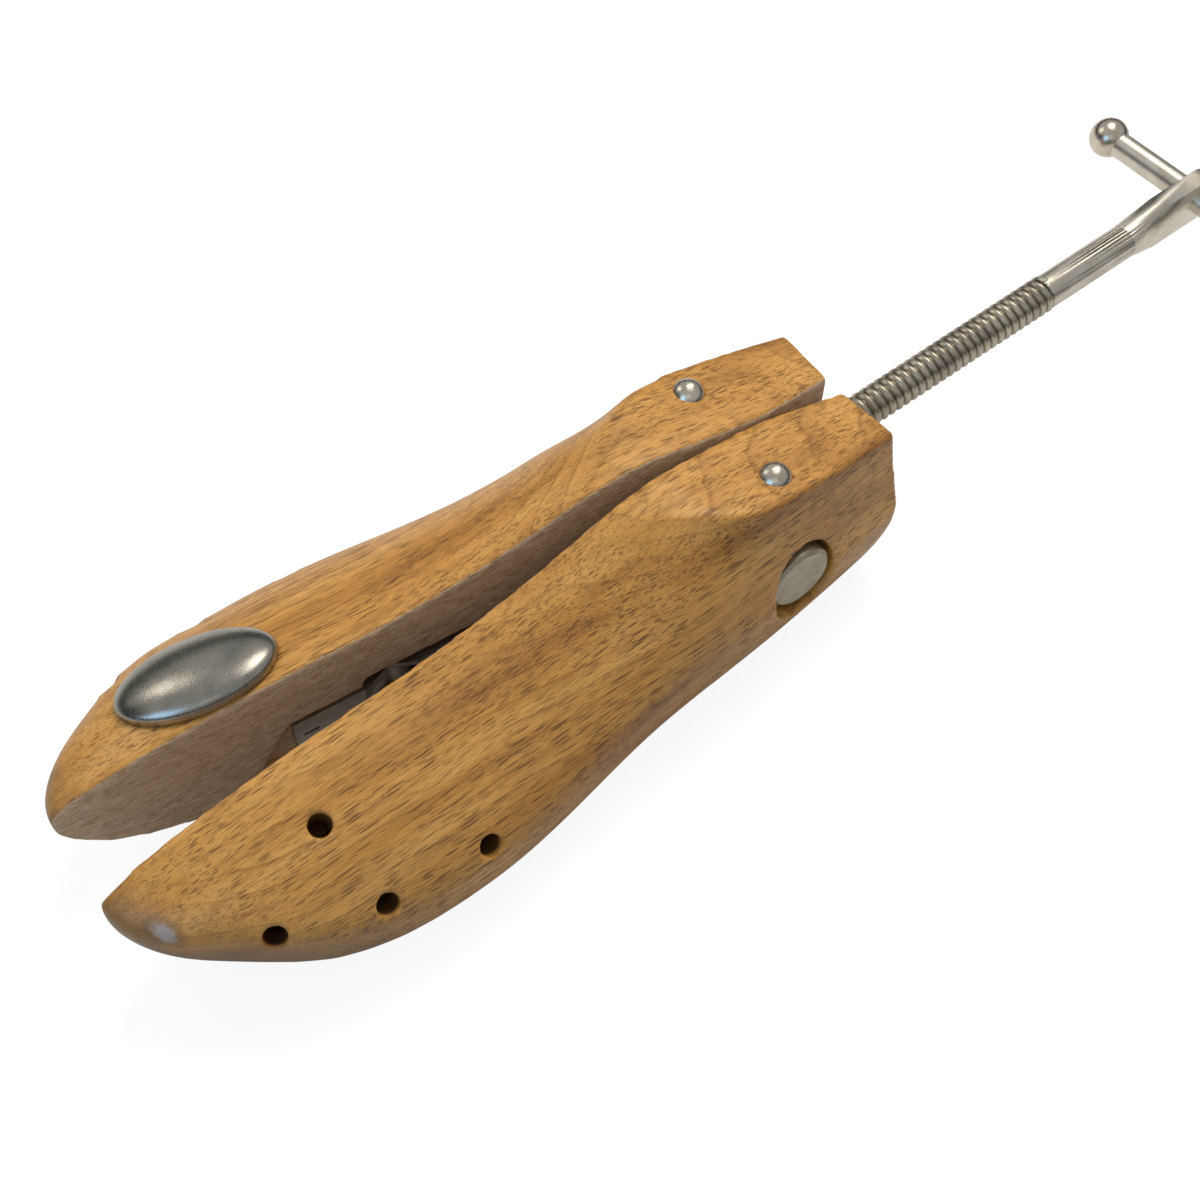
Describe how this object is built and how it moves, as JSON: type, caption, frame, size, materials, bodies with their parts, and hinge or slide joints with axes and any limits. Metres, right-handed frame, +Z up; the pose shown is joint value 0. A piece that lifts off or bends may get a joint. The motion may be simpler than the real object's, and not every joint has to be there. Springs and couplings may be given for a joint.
{
  "type": "shoe stretcher",
  "caption": "Wooden shoe forepart split lengthwise that a screw with a cross handle spreads apart, with an oval metal plug pressed into one of its plug holes.",
  "frame": {"origin": "on the sole plane, under the middle of the cross bar that both halves pivot on", "axes": "-X towards the toe, +X towards the handle, +Z up, away from the sole"},
  "size_m": [0.3432, 0.0928, 0.0529],
  "materials": {
    "beech": "satin",
    "bar_steel": "brushed",
    "rod_steel": "oiled",
    "link_steel": "satin",
    "nickel": "polished",
    "plug_metal": "satin"
  },
  "bodies": {
    "trunnion": {"cross_bar": "bar_steel"},
    "left_half": {"left_half": "beech", "left_pivot_rivet": "nickel", "left_anchor": "link_steel", "left_anchor_pin": "link_steel", "left_anchor_screws": "nickel"},
    "right_half": {"right_half": "beech", "right_pivot_rivet": "nickel", "right_anchor": "link_steel", "right_anchor_pin": "link_steel", "right_anchor_screws": "nickel"},
    "crosshead": {"crosshead": "link_steel", "crosshead_washer": "nickel", "rod_keeper_pin": "link_steel", "middle_pin": "link_steel"},
    "screw": {"screw_rod": "rod_steel", "handle_bar": "rod_steel", "handle_ends": "nickel"},
    "left_links": {"left_link_upper": "link_steel", "left_link_lower": "link_steel"},
    "right_links": {"right_link_upper": "link_steel", "right_link_lower": "link_steel"},
    "plug": {"oval_plug": "plug_metal", "oval_plug_stem": "plug_metal"}
  },
  "joints": [
    {"name": "advance", "type": "slide", "parent": "trunnion", "child": "crosshead", "axis": [-0.9957, 0, -0.0924], "range_m": [-0.0031, 0.00222]},
    {"name": "turn", "type": "hinge", "parent": "crosshead", "child": "screw", "pos_m": [-0.06758, 0, 0.01823], "axis": [-0.9957, 0, -0.0924], "range_deg": [-444.73, 317.66]},
    {"name": "open_left", "type": "hinge", "parent": "trunnion", "child": "left_half", "pos_m": [0, -0.016, 0.0245], "axis": [0, 0, 1], "range_deg": [-3.5, 2.5]},
    {"name": "open_right", "type": "hinge", "parent": "trunnion", "child": "right_half", "pos_m": [0, 0.016, 0.0245], "axis": [0, 0, -1], "range_deg": [-3.5, 2.5]},
    {"name": "left_link_swing", "type": "hinge", "parent": "left_half", "child": "left_links", "pos_m": [-0.08845, -0.01139, 0.01823], "axis": [0, 0, 1], "range_deg": [-11.09, 7.93]},
    {"name": "right_link_swing", "type": "hinge", "parent": "right_half", "child": "right_links", "pos_m": [-0.08845, 0.01139, 0.01823], "axis": [0, 0, -1], "range_deg": [-11.09, 7.93]},
    {"name": "plug_lift", "type": "slide", "parent": "right_half", "child": "plug", "axis": [-0.0581, 0.278, 0.9588], "range_m": [0, 0.016]}
  ],
  "couplings": [
    {"joint": "advance", "follows": "turn", "m_per_rad": 0.00039789},
    {"joint": "open_left", "follows": "turn", "ratio": 0.00787},
    {"joint": "open_right", "follows": "turn", "ratio": 0.00787},
    {"joint": "left_link_swing", "follows": "turn", "ratio": 0.0249},
    {"joint": "right_link_swing", "follows": "turn", "ratio": 0.0249}
  ]
}
